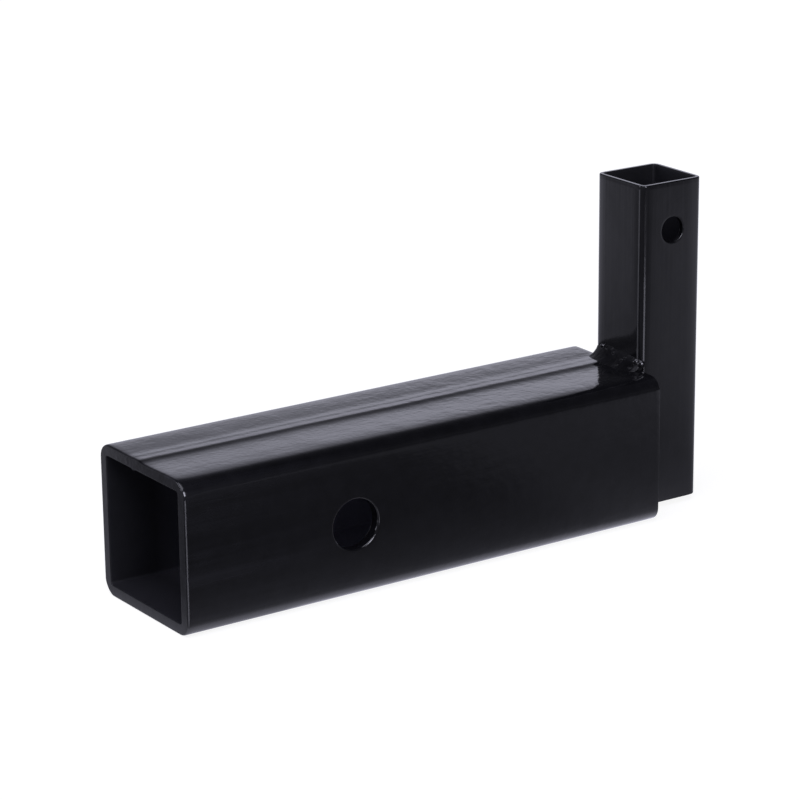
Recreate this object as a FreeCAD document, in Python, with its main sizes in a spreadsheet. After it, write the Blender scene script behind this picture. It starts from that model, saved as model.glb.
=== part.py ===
import FreeCAD, Part
import Sketcher
import math
import os

# Hitch receiver adapter: a square receiver shank with a smaller square post welded across its end.
# Millimetres. +X runs along the shank from its open mouth to the post, +Y along the hitch pin, +Z up.
# The origin is the centre of the hitch pin hole.

# Driving dimensions: name, value, what it is
SIZES = [
    ("shank_width", 50.8, "outside width and height of the shank's square tube"),
    ("shank_wall", 3.8, "wall of the shank"),
    ("shank_corner", 4.8, "outside corner radius of the shank"),
    ("shank_length", 184.15, "length of the shank from its mouth to the post"),
    ("mouth_break", 0.9, "rounding of the shank's outer edges at its mouth"),
    ("mouth_inner_break", 0.3, "rounding of the shank's inner edges at its mouth"),
    ("pin_from_mouth", 62.3, "mouth of the shank to the hitch pin hole"),
    ("pin_drop", 0.8, "how far the hitch pin hole sits below the middle of the shank"),
    ("pin_hole_diameter", 16.7, "hitch pin hole"),
    ("pin_hole_break", 0.55, "rounding of the hitch pin hole's rims"),
    ("far_scarf_offset", 7.5, "middle of the shallow hollow scarfed beyond the tube's long seam"),
    ("far_scarf_width", 9.0, "width of the hollow beyond the seam"),
    ("far_scarf_depth", 0.25, "depth of the hollow beyond the seam"),
    ("near_scarf_offset", -4.75, "middle of the shallow hollow scarfed on the near side of the seam"),
    ("near_scarf_width", 12.5, "width of the hollow on the near side of the seam"),
    ("near_scarf_depth", 0.5, "depth of the hollow on the near side of the seam"),
    ("flash_offset", 4.8, "middle of the flash left inside the tube, under the ridge of the seam"),
    ("flash_width", 2.2, "width of the flash left inside the tube under the seam"),
    ("flash_height", 0.5, "height of the flash left inside the tube under the seam"),
    ("post_width", 25.4, "outside width of the post's square tube"),
    ("post_wall", 1.65, "wall of the post"),
    ("post_corner", 2.7, "outside corner radius of the post"),
    ("post_height", 112.0, "length of the post"),
    ("post_foot_rise", 2.0, "underside of the shank to the foot of the post"),
    ("post_offset", -2.0, "middle of the post, across from the middle of the shank"),
    ("post_rim_break", 0.35, "rounding of the post's upper rim"),
    ("post_hole_diameter", 9.0, "cross hole of the post"),
    ("post_hole_from_top", 16.5, "top of the post to its cross hole"),
    ("post_hole_break", 0.25, "rounding of the cross hole's rims"),
    ("top_bead_leg", 4.9, "leg of the fillet weld on top of the shank"),
    ("top_bead_sink", 2.5, "how far behind the joint the top weld's ripples are centred"),
    ("top_ripple_reach", 4.0, "half length of one ripple of the top weld"),
    ("top_ripple_pitch", 2.3, "spacing of the top weld's ripples"),
    ("end_blob_radius", 3.0, "radius of the blob of weld round each front corner of the post"),
    ("end_blob_inset", 2.0, "how far the blob's centre lies inside the post's side"),
    ("end_blob_setback", 0.4, "how far the blob's centre lies behind the post's front"),
    ("foot_bead_leg", 1.5, "leg of the weld under the foot of the post"),
    ("foot_bead_sink", 0.7, "how far behind the joint the foot weld's ripples are centred"),
    ("foot_ripple_reach", 2.0, "half length of one ripple of the foot weld"),
    ("foot_ripple_pitch", 1.5, "spacing of the foot weld's ripples"),
]

doc = FreeCAD.newDocument("hitch_receiver_adapter")


def write_sheet():
    """Put every driving dimension into one sheet, each in a cell that bears its name."""
    sheet = doc.addObject("Spreadsheet::Sheet", "sizes")
    for row, (name, value, meaning) in enumerate(SIZES, start=1):
        sheet.set(f"A{row}", name)
        sheet.set(f"B{row}", str(value))
        sheet.set(f"C{row}", meaning)
        sheet.setAlias(f"B{row}", name)
    doc.recompute()
    return sheet


sizes = write_sheet()


def value_of(formula):
    """What a formula of sheet names comes to now, for a sketch's first guess."""
    return float(sizes.evalExpression(formula))


# Sketches

def new_body(label):
    body = doc.addObject("PartDesign::Body", label)
    body.Label = label
    return body


def origin_feature(body, role):
    for feature in body.Origin.OriginFeatures:
        if feature.Role == role:
            return feature
    raise ValueError(f"{body.Label} has no {role}")


def new_sketch(body, name, role):
    """A sketch on one of the body's own planes."""
    sketch = body.newObject("Sketcher::SketchObject", name)
    sketch.AttachmentSupport = (origin_feature(body, role), [""])
    sketch.MapMode = "FlatFace"
    return sketch


def bind(sketch, name, formula, kind, *ends):
    """Give a sketch a dimension that follows the sheet."""
    index = sketch.addConstraint(Sketcher.Constraint(kind, *ends, value_of(formula)))
    sketch.renameConstraint(index, name)
    sketch.setExpression(f"Constraints.{name}", formula)


def line(x1, y1, x2, y2):
    return Part.LineSegment(FreeCAD.Vector(x1, y1, 0), FreeCAD.Vector(x2, y2, 0))


def arc(x, y, radius, start, end):
    """An arc about (x, y), anticlockwise from one angle to another in degrees."""
    circle = Part.Circle(FreeCAD.Vector(x, y, 0), FreeCAD.Vector(0, 0, 1), radius)
    return Part.ArcOfCircle(circle, math.radians(start), math.radians(end))


def round_square(sketch, prefix, width, corner, across="0"):
    """A square with round corners, its middle on the sketch's first axis."""
    half = value_of(width) / 2
    radius = value_of(corner)
    middle = value_of(across)
    flat = half - radius
    items = [
        line(middle - flat, -half, middle + flat, -half),
        arc(middle + flat, -flat, radius, 270, 360),
        line(middle + half, -flat, middle + half, flat),
        arc(middle + flat, flat, radius, 0, 90),
        line(middle + flat, half, middle - flat, half),
        arc(middle - flat, flat, radius, 90, 180),
        line(middle - half, flat, middle - half, -flat),
        arc(middle - flat, -flat, radius, 180, 270),
    ]
    first = sketch.GeometryCount
    sketch.addGeometry(items, False)
    low, right, high, left = first, first + 2, first + 4, first + 6
    for index in range(8):
        following = first + (index + 1) % 8
        sketch.addConstraint(Sketcher.Constraint("Tangent", first + index, 2, following, 1))
    for corner_arc in (first + 3, first + 5, first + 7):
        sketch.addConstraint(Sketcher.Constraint("Equal", first + 1, corner_arc))
    for level in (low, high):
        sketch.addConstraint(Sketcher.Constraint("Horizontal", level))
    for upright in (left, right):
        sketch.addConstraint(Sketcher.Constraint("Vertical", upright))
    bind(sketch, f"{prefix}_corner", corner, "Radius", first + 1)
    bind(sketch, f"{prefix}_width", width, "DistanceX", left, 1, right, 1)
    bind(sketch, f"{prefix}_height", width, "DistanceY", low, 1, high, 1)
    bind(sketch, f"{prefix}_right", f"{across} + {width} / 2", "DistanceX", -1, 1, right, 1)
    bind(sketch, f"{prefix}_top", f"{width} / 2", "DistanceY", -1, 1, high, 1)


def round_hole(sketch, diameter, along, up):
    """A circle at a place given along and up from the sketch's origin."""
    middle = FreeCAD.Vector(value_of(along), value_of(up), 0)
    circle = Part.Circle(middle, FreeCAD.Vector(0, 0, 1), value_of(diameter) / 2)
    hole = sketch.addGeometry(circle, False)
    bind(sketch, "hole_diameter", diameter, "Diameter", hole)
    bind(sketch, "hole_along", along, "DistanceX", -1, 1, hole, 3)
    bind(sketch, "hole_up", up, "DistanceY", -1, 1, hole, 3)


def dish_radius(width, depth):
    """The radius of a shallow arc of a given width and depth."""
    return f"({width} * {width} / 4 + {depth} * {depth}) / (2 * {depth})"


def dish_arc(middle, level, width, depth):
    """A shallow arc that dips below a level, as geometry for a sketch's first guess."""
    radius = value_of(dish_radius(width, depth))
    half_angle = math.degrees(math.asin(value_of(width) / 2 / radius))
    centre_up = value_of(level) - value_of(depth) + radius
    return arc(value_of(middle), centre_up, radius, 270 - half_angle, 270 + half_angle)


# The two hollows scarfed either side of the tube's seam, from near to far: middle, width, depth
SCARFS = [
    ("sizes.near_scarf_offset", "sizes.near_scarf_width", "sizes.near_scarf_depth"),
    ("sizes.far_scarf_offset", "sizes.far_scarf_width", "sizes.far_scarf_depth"),
]


def dish(sketch, middle, level, width, depth, rise):
    """A shallow dish: an arc below a level, closed by a box that rises above the level."""
    left = value_of(middle) - value_of(width) / 2
    right = left + value_of(width)
    base = value_of(level)
    top = base + value_of(rise)
    items = [
        dish_arc(middle, level, width, depth),
        line(right, base, right, top),
        line(right, top, left, top),
        line(left, top, left, base),
    ]
    sketch.addGeometry(items, False)
    for index in range(4):
        following = (index + 1) % 4
        sketch.addConstraint(Sketcher.Constraint("Coincident", index, 2, following, 1))
    sketch.addConstraint(Sketcher.Constraint("Vertical", 1))
    sketch.addConstraint(Sketcher.Constraint("Horizontal", 2))
    sketch.addConstraint(Sketcher.Constraint("Vertical", 3))
    bind(sketch, "radius", dish_radius(width, depth), "Radius", 0)
    bind(sketch, "width", width, "DistanceX", 0, 1, 0, 2)
    bind(sketch, "right", f"{middle} + {width} / 2", "DistanceX", -1, 1, 0, 2)
    bind(sketch, "level_left", level, "DistanceY", -1, 1, 0, 1)
    bind(sketch, "level_right", level, "DistanceY", -1, 1, 0, 2)
    bind(sketch, "rise", rise, "DistanceY", 1, 1, 1, 2)


def ground(sketch, shift, reach):
    """All that lies below the sketch's first axis and both scarfed hollows, moved across by a shift."""
    far = value_of(reach)
    items = []
    marks = [-far]
    for middle, width, depth in SCARFS:
        left = value_of(f"{middle} + {shift} - {width} / 2")
        right = value_of(f"{middle} + {shift} + {width} / 2")
        items += [line(marks[-1], 0, left, 0), dish_arc(f"{middle} + {shift}", "0", width, depth)]
        marks.append(right)
    corners = [(marks[-1], 0), (far, 0), (far, -far), (-far, -far), (-far, 0)]
    items += [line(*start, *end) for start, end in zip(corners, corners[1:])]
    sketch.addGeometry(items, False)
    for index in range(8):
        following = (index + 1) % 8
        sketch.addConstraint(Sketcher.Constraint("Coincident", index, 2, following, 1))
    for level in (0, 2, 4):
        sketch.addConstraint(Sketcher.Constraint("PointOnObject", level, 1, -1))
        sketch.addConstraint(Sketcher.Constraint("PointOnObject", level, 2, -1))
    sketch.addConstraint(Sketcher.Constraint("Vertical", 5))
    sketch.addConstraint(Sketcher.Constraint("Horizontal", 6))
    sketch.addConstraint(Sketcher.Constraint("Vertical", 7))
    for hollow, (middle, width, depth) in enumerate(SCARFS, start=1):
        arc_index = 2 * hollow - 1
        right = f"{middle} + {shift} + {width} / 2"
        bind(sketch, f"radius_{hollow}", dish_radius(width, depth), "Radius", arc_index)
        bind(sketch, f"width_{hollow}", width, "DistanceX", arc_index, 1, arc_index, 2)
        bind(sketch, f"right_{hollow}", right, "DistanceX", -1, 1, arc_index, 2)
    bind(sketch, "reach_right", reach, "DistanceX", -1, 1, 4, 2)
    bind(sketch, "reach_left", reach, "DistanceX", 0, 1, -1, 1)
    bind(sketch, "reach_down", reach, "DistanceY", 5, 2, 5, 1)


def all_but_a_quarter(sketch, reach):
    """An L round the sketch's origin that leaves free the quarter right of it and below it."""
    far = value_of(reach)
    corners = [(0, 0), (far, 0), (far, far), (-far, far), (-far, -far), (0, -far)]
    items = [line(*start, *end) for start, end in zip(corners, corners[1:] + corners[:1])]
    sketch.addGeometry(items, False)
    for index in range(6):
        following = (index + 1) % 6
        sketch.addConstraint(Sketcher.Constraint("Coincident", index, 2, following, 1))
    for level in (2, 4):
        sketch.addConstraint(Sketcher.Constraint("Horizontal", level))
    for upright in (1, 3):
        sketch.addConstraint(Sketcher.Constraint("Vertical", upright))
    sketch.addConstraint(Sketcher.Constraint("Coincident", 0, 1, -1, 1))
    sketch.addConstraint(Sketcher.Constraint("PointOnObject", 0, 2, -1))
    sketch.addConstraint(Sketcher.Constraint("PointOnObject", 4, 2, -2))
    bind(sketch, "reach_right", reach, "DistanceX", 0, 1, 0, 2)
    bind(sketch, "reach_up", reach, "DistanceY", 1, 1, 1, 2)
    bind(sketch, "reach_left", reach, "DistanceX", 2, 2, 0, 1)
    bind(sketch, "reach_down", reach, "DistanceY", 5, 1, 5, 2)


# Features

def pad(body, name, sketch, length):
    feature = body.newObject("PartDesign::Pad", name)
    feature.Profile = sketch
    feature.setExpression("Length", length)
    sketch.Visibility = False
    doc.recompute()
    return feature


def pocket(body, name, sketch, side="One side", reverse=False):
    """Cut a sketch right through, and make sure that it did cut."""
    before = body.Shape.Volume
    feature = body.newObject("PartDesign::Pocket", name)
    feature.Profile = sketch
    feature.Type = "ThroughAll"
    feature.SideType = side
    feature.Reversed = reverse
    sketch.Visibility = False
    doc.recompute()
    if not body.Shape.Volume < before:
        raise ValueError(f"{name} cuts nothing")
    return feature


def fillet(body, name, radius, wanted):
    """Round those edges of the body's newest feature that a test picks out."""
    base = body.Tip
    edges = [f"Edge{number}" for number, edge in enumerate(base.Shape.Edges, start=1) if wanted(edge)]
    if not edges:
        raise ValueError(f"{name} finds no edge")
    feature = body.newObject("PartDesign::Fillet", name)
    feature.Base = (base, edges)
    feature.setExpression("Radius", radius)
    doc.recompute()
    return feature


def lies_at(edge, axis, place):
    """Whether an edge lies wholly in the plane where one coordinate has a given value."""
    box = edge.BoundBox
    low = getattr(box, f"{axis}Min")
    high = getattr(box, f"{axis}Max")
    return abs(low - place) < 0.01 and abs(high - place) < 0.01


def spread_of(edge):
    """How far an edge reaches from the X axis, across or up."""
    box = edge.BoundBox
    return max(abs(box.YMin), abs(box.YMax), abs(box.ZMin), abs(box.ZMax))


def is_rim(edge, radius, axis, places):
    """Whether an edge is a circle of a given radius in one of some planes."""
    if not isinstance(edge.Curve, Part.Circle):
        return False
    if abs(edge.Curve.Radius - radius) > 0.001:
        return False
    return any(lies_at(edge, axis, place) for place in places)


def place(body, x, y, z):
    body.setExpression("Placement.Base.x", x)
    body.setExpression("Placement.Base.y", y)
    body.setExpression("Placement.Base.z", z)


# Where the pieces stand: each is built about its own joint and then set in place
SHANK_END = "sizes.shank_length - sizes.pin_from_mouth"
SHANK_TOP = "sizes.pin_drop + sizes.shank_width / 2"
SHANK_UNDERSIDE = "sizes.pin_drop - sizes.shank_width / 2"
POST_FOOT = f"{SHANK_UNDERSIDE} + sizes.post_foot_rise"


def make_shank():
    """The receiver shank: a length of seamed square tube, drilled for the hitch pin."""
    body = new_body("shank_tube")
    inside = "(sizes.shank_width - 2 * sizes.shank_wall)"
    section = new_sketch(body, "shank_section", "YZ_Plane")
    round_square(section, "outside", "sizes.shank_width", "sizes.shank_corner")
    round_square(section, "inside", inside, "max(sizes.shank_corner - sizes.shank_wall; 0.5)")
    pad(body, "shank_length", section, "sizes.shank_length")
    middle_of_wall = value_of("(sizes.shank_width - sizes.shank_wall) / 2")
    fillet(body, "mouth_outer_edges", "sizes.mouth_break",
           lambda edge: lies_at(edge, "X", 0) and spread_of(edge) > middle_of_wall)
    fillet(body, "mouth_inner_edges", "sizes.mouth_inner_break",
           lambda edge: lies_at(edge, "X", 0) and spread_of(edge) < middle_of_wall)

    hole = new_sketch(body, "hitch_pin_circle", "XZ_Plane")
    round_hole(hole, "sizes.pin_hole_diameter", "sizes.pin_from_mouth", "-sizes.pin_drop")
    pocket(body, "hitch_pin_hole", hole, side="Symmetric")
    radius = value_of("sizes.pin_hole_diameter / 2")
    face = value_of("sizes.shank_width / 2")
    fillet(body, "hitch_pin_rims", "sizes.pin_hole_break",
           lambda edge: is_rim(edge, radius, "Y", (-face, face)))

    top = "sizes.shank_width / 2"
    for number, (middle, width, depth) in enumerate(SCARFS, start=1):
        hollow = new_sketch(body, f"scarf_{number}_section", "YZ_Plane")
        dish(hollow, middle, top, width, depth, "sizes.shank_wall")
        pocket(body, f"scarf_{number}", hollow, side="Symmetric")

    flash = new_sketch(body, "flash_section", "YZ_Plane")
    ceiling = "sizes.shank_width / 2 - sizes.shank_wall"
    into_wall = "sizes.shank_wall / 2"
    dish(flash, "sizes.flash_offset", ceiling, "sizes.flash_width", "sizes.flash_height", into_wall)
    pad(body, "seam_flash", flash, "sizes.shank_length")
    place(body, "-sizes.pin_from_mouth", "0", "sizes.pin_drop")
    return body


def make_post():
    """The post: a thinner square tube standing against the far end of the shank."""
    body = new_body("post_tube")
    inside = "(sizes.post_width - 2 * sizes.post_wall)"
    section = new_sketch(body, "post_section", "XY_Plane")
    round_square(section, "outside", "sizes.post_width", "sizes.post_corner")
    round_square(section, "inside", inside, "max(sizes.post_corner - sizes.post_wall; 0.4)")
    pad(body, "post_height", section, "sizes.post_height")
    top = value_of("sizes.post_height")
    fillet(body, "rim_edges", "sizes.post_rim_break", lambda edge: lies_at(edge, "Z", top))

    hole = new_sketch(body, "cross_hole_circle", "XZ_Plane")
    height = "sizes.post_height - sizes.post_hole_from_top"
    round_hole(hole, "sizes.post_hole_diameter", "0", height)
    pocket(body, "cross_hole", hole, side="Symmetric")
    radius = value_of("sizes.post_hole_diameter / 2")
    face = value_of("sizes.post_width / 2")
    fillet(body, "cross_hole_rims", "sizes.post_hole_break",
           lambda edge: is_rim(edge, radius, "Y", (-face, face)))
    place(body, f"{SHANK_END} + sizes.post_width / 2", "sizes.post_offset", POST_FOOT)
    return body


def weld_row(body, name, shape, sizing, position, span, count):
    """A row of equal ellipsoids or spheres of weld metal, centred on the joint and along it."""
    first = body.newObject(f"PartDesign::{shape}", f"{name}_first")
    first.AttachmentSupport = (origin_feature(body, "XY_Plane"), [""])
    first.MapMode = "FlatFace"
    for size, formula in sizing.items():
        first.setExpression(size, formula)
    first.setExpression("AttachmentOffset.Base.x", position[0])
    first.setExpression("AttachmentOffset.Base.y", f"-({span}) / 2")
    first.setExpression("AttachmentOffset.Base.z", position[1])
    doc.recompute()
    row = body.newObject("PartDesign::LinearPattern", f"{name}_row")
    row.Originals = [first]
    row.Direction = (origin_feature(body, "Y_Axis"), [""])
    row.setExpression("Length", span)
    row.setExpression("Occurrences", count)
    body.Tip = row
    doc.recompute()


def ripples(body, name, away, up):
    """
    The ripples of a bead along the joint. Each is centred behind the joint, so that what stands
    out of the corner is a slightly domed fillet with the stated leg.
    """
    leg = f"sizes.{name}_bead_leg"
    sink = f"sizes.{name}_bead_sink"
    reach = f"sizes.{name}_ripple_reach"
    across = f"sqrt(({leg} + {sink}) * ({leg} + {sink}) + {sink} * {sink})"
    span = f"sizes.post_width - 2 * {reach}"
    sizing = {"Radius1": across, "Radius2": across, "Radius3": reach}
    position = (f"{-away} * {sink}", f"{-up} * {sink}")
    count = f"floor(({span}) / sizes.{name}_ripple_pitch) + 1"
    weld_row(body, f"{name}_ripple", "AdditiveEllipsoid", sizing, position, span, count)


def make_top_weld():
    """The fillet weld on top of the shank, along the front of the post and round its corners."""
    body = new_body("top_weld")
    ripples(body, "top", away=-1, up=1)
    sizing = {"Radius": "sizes.end_blob_radius"}
    span = "sizes.post_width - 2 * sizes.end_blob_inset"
    weld_row(body, "end_blob", "AdditiveSphere", sizing, ("sizes.end_blob_setback", "0"), span, "2")
    outline = new_sketch(body, "post_outline", "XY_Plane")
    round_square(outline, "post", "sizes.post_width", "sizes.post_corner", across="sizes.post_width / 2")
    pocket(body, "room_for_post", outline, side="Symmetric")
    surface = new_sketch(body, "shank_surface", "YZ_Plane")
    ground(surface, "(-sizes.post_offset)", "sizes.post_width")
    pocket(body, "room_for_shank", surface, side="Symmetric")
    place(body, SHANK_END, "sizes.post_offset", SHANK_TOP)
    return body


def make_foot_weld():
    """The small weld under the foot of the post, against the end of the shank's lower wall."""
    body = new_body("foot_weld")
    ripples(body, "foot", away=1, up=-1)
    faces = new_sketch(body, "shank_end_and_post_foot", "XZ_Plane")
    all_but_a_quarter(faces, "sizes.post_width")
    pocket(body, "room_for_tubes", faces, side="Symmetric")
    place(body, SHANK_END, "sizes.post_offset", POST_FOOT)
    return body


def check(bodies):
    """Stop if anything in the document failed, or a piece isn't one sound solid."""
    for item in doc.Objects:
        if "Invalid" in item.State or "Error" in item.State:
            raise ValueError(f"{item.Label}: {item.State}")
    for body in bodies:
        shape = body.Shape
        if shape.isNull() or not shape.isValid() or len(shape.Solids) != 1:
            raise ValueError(f"{body.Label} is not one valid solid")


pieces = [make_shank(), make_post(), make_top_weld(), make_foot_weld()]
doc.recompute()
check(pieces)
os.makedirs("parts", exist_ok=True)
for piece in pieces:
    piece.Shape.exportStep(f"parts/{piece.Label}.step")
    print(piece.Label, round(piece.Shape.Volume, 1), "mm3", piece.Shape.BoundBox)
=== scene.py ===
import math
from collections import namedtuple

import bmesh
import bpy
import numpy as np
from mathutils import Matrix, Vector


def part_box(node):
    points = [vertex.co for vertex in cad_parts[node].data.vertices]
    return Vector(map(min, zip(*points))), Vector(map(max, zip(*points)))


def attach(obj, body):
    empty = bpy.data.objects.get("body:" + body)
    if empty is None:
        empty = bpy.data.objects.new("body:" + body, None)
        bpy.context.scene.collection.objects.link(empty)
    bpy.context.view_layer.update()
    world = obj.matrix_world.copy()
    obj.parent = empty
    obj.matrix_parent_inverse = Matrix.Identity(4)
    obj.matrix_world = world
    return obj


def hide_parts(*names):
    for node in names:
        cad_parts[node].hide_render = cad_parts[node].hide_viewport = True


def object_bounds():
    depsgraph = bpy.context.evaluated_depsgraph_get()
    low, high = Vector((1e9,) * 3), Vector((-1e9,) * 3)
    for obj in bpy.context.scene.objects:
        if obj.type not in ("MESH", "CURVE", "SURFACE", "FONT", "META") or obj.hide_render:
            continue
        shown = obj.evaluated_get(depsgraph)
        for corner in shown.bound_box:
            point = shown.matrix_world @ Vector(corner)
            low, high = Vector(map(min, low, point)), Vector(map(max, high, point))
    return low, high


# Hitch receiver adapter in gloss black powder coat. Lengths are in millimetres until a mesh is made,
# in the frame of the CAD model: +X along the shank, +Y along the hitch pin, +Z up.

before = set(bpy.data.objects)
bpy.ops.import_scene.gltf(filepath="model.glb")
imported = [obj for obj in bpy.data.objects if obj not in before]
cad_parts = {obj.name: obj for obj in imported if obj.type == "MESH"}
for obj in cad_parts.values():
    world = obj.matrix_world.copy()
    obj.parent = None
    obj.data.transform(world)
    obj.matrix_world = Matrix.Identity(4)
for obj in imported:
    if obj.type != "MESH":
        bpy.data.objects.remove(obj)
cad_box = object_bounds()

MM = 0.001
rng = np.random.default_rng(11)


def box_mm(cad_node):
    low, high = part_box(cad_node)
    return np.array(low) / MM, np.array(high) / MM


shank_low, shank_high = box_mm("shank_tube")
post_low, post_high = box_mm("post_tube")

SHANK_HALF = (shank_high[1] - shank_low[1]) / 2
SHANK_CORNER = 4.8
SHANK_WALL = 3.8
SHANK_MID_Z = shank_low[2] + SHANK_HALF
SHANK_TOP = shank_low[2] + 2 * SHANK_HALF
SHANK_END = shank_high[0]
PIN_HOLE_RADIUS = 8.35
FLASH_Y = 4.8
FLASH_HALF = 1.1
FLASH_HEIGHT = 0.5

POST_HALF = (post_high[1] - post_low[1]) / 2
POST_CORNER = 2.7
POST_WALL = 1.65
POST_MID = np.array([(post_low[0] + post_high[0]) / 2, (post_low[1] + post_high[1]) / 2])
CROSS_HOLE_RADIUS = 4.5
CROSS_HOLE_FROM_TOP = 16.5


# Smooth noise

class Waves:
    """A smooth random field: a sum of plane waves with wavelengths about one length."""

    COUNT = 24

    def __init__(self, wavelength):
        directions = rng.normal(size=(self.COUNT, 3))
        directions /= np.linalg.norm(directions, axis=1)[:, None]
        lengths = wavelength * rng.uniform(0.7, 1.6, self.COUNT)
        self.waves = directions * (2 * math.pi / lengths)[:, None]
        self.phases = rng.uniform(0, 2 * math.pi, self.COUNT)
        self.scale = math.sqrt(2 / self.COUNT)

    def __call__(self, points):
        return np.sin(points @ self.waves.T + self.phases).sum(axis=-1) * self.scale


# Meshes

def make_piece(name, cad_node, points, faces):
    """A smooth piece from points in millimetres. It takes the place of a CAD node."""
    mesh = bpy.data.meshes.new(name)
    mesh.from_pydata([tuple(p) for p in np.asarray(points) * MM], [], [tuple(f) for f in faces])
    work = bmesh.new()
    work.from_mesh(mesh)
    bmesh.ops.recalc_face_normals(work, faces=work.faces)
    work.to_mesh(mesh)
    work.free()
    for polygon in mesh.polygons:
        polygon.use_smooth = True
    mesh.update()
    piece = bpy.data.objects.new(name, mesh)
    bpy.context.scene.collection.objects.link(piece)
    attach(piece, "root")
    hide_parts(cad_node)
    return piece


def spread(low, high, step, fixed=()):
    """Stations from low to high about a step apart, with the fixed ones among them."""
    marks = sorted({low, high, *fixed})
    stations = []
    for start, end in zip(marks, marks[1:]):
        count = max(1, round((end - start) / step))
        stations += list(np.linspace(start, end, count + 1)[:-1])
    return stations + [high]


def with_patch(low, high, step, middle, reach, cells):
    """Stations with one stretch cut into a given number of equal cells."""
    first = spread(low, middle - reach, step)[:-1]
    patch = list(np.linspace(middle - reach, middle + reach, cells + 1))
    return first + patch + spread(middle + reach, high, step)[1:]


# How far each cut edge is rounded: the mouth's outer edge along the tube and down the cut face, the
# mouth's inner edge, and both edges of the other end
Breaks = namedtuple("Breaks", "mouth mouth_deep mouth_inner end")

# Where a hole's middle lies, its radius, the rounding of its outer rim, and half the side of the
# square patch of the grid that its rings of quads take up
Hole = namedtuple("Hole", "u w radius rim reach")

# Soft furrows beside the corners: how far out on the flat and how wide they are, and their depths
# before and after each corner
Ease = namedtuple("Ease", "centre width depths")


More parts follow.
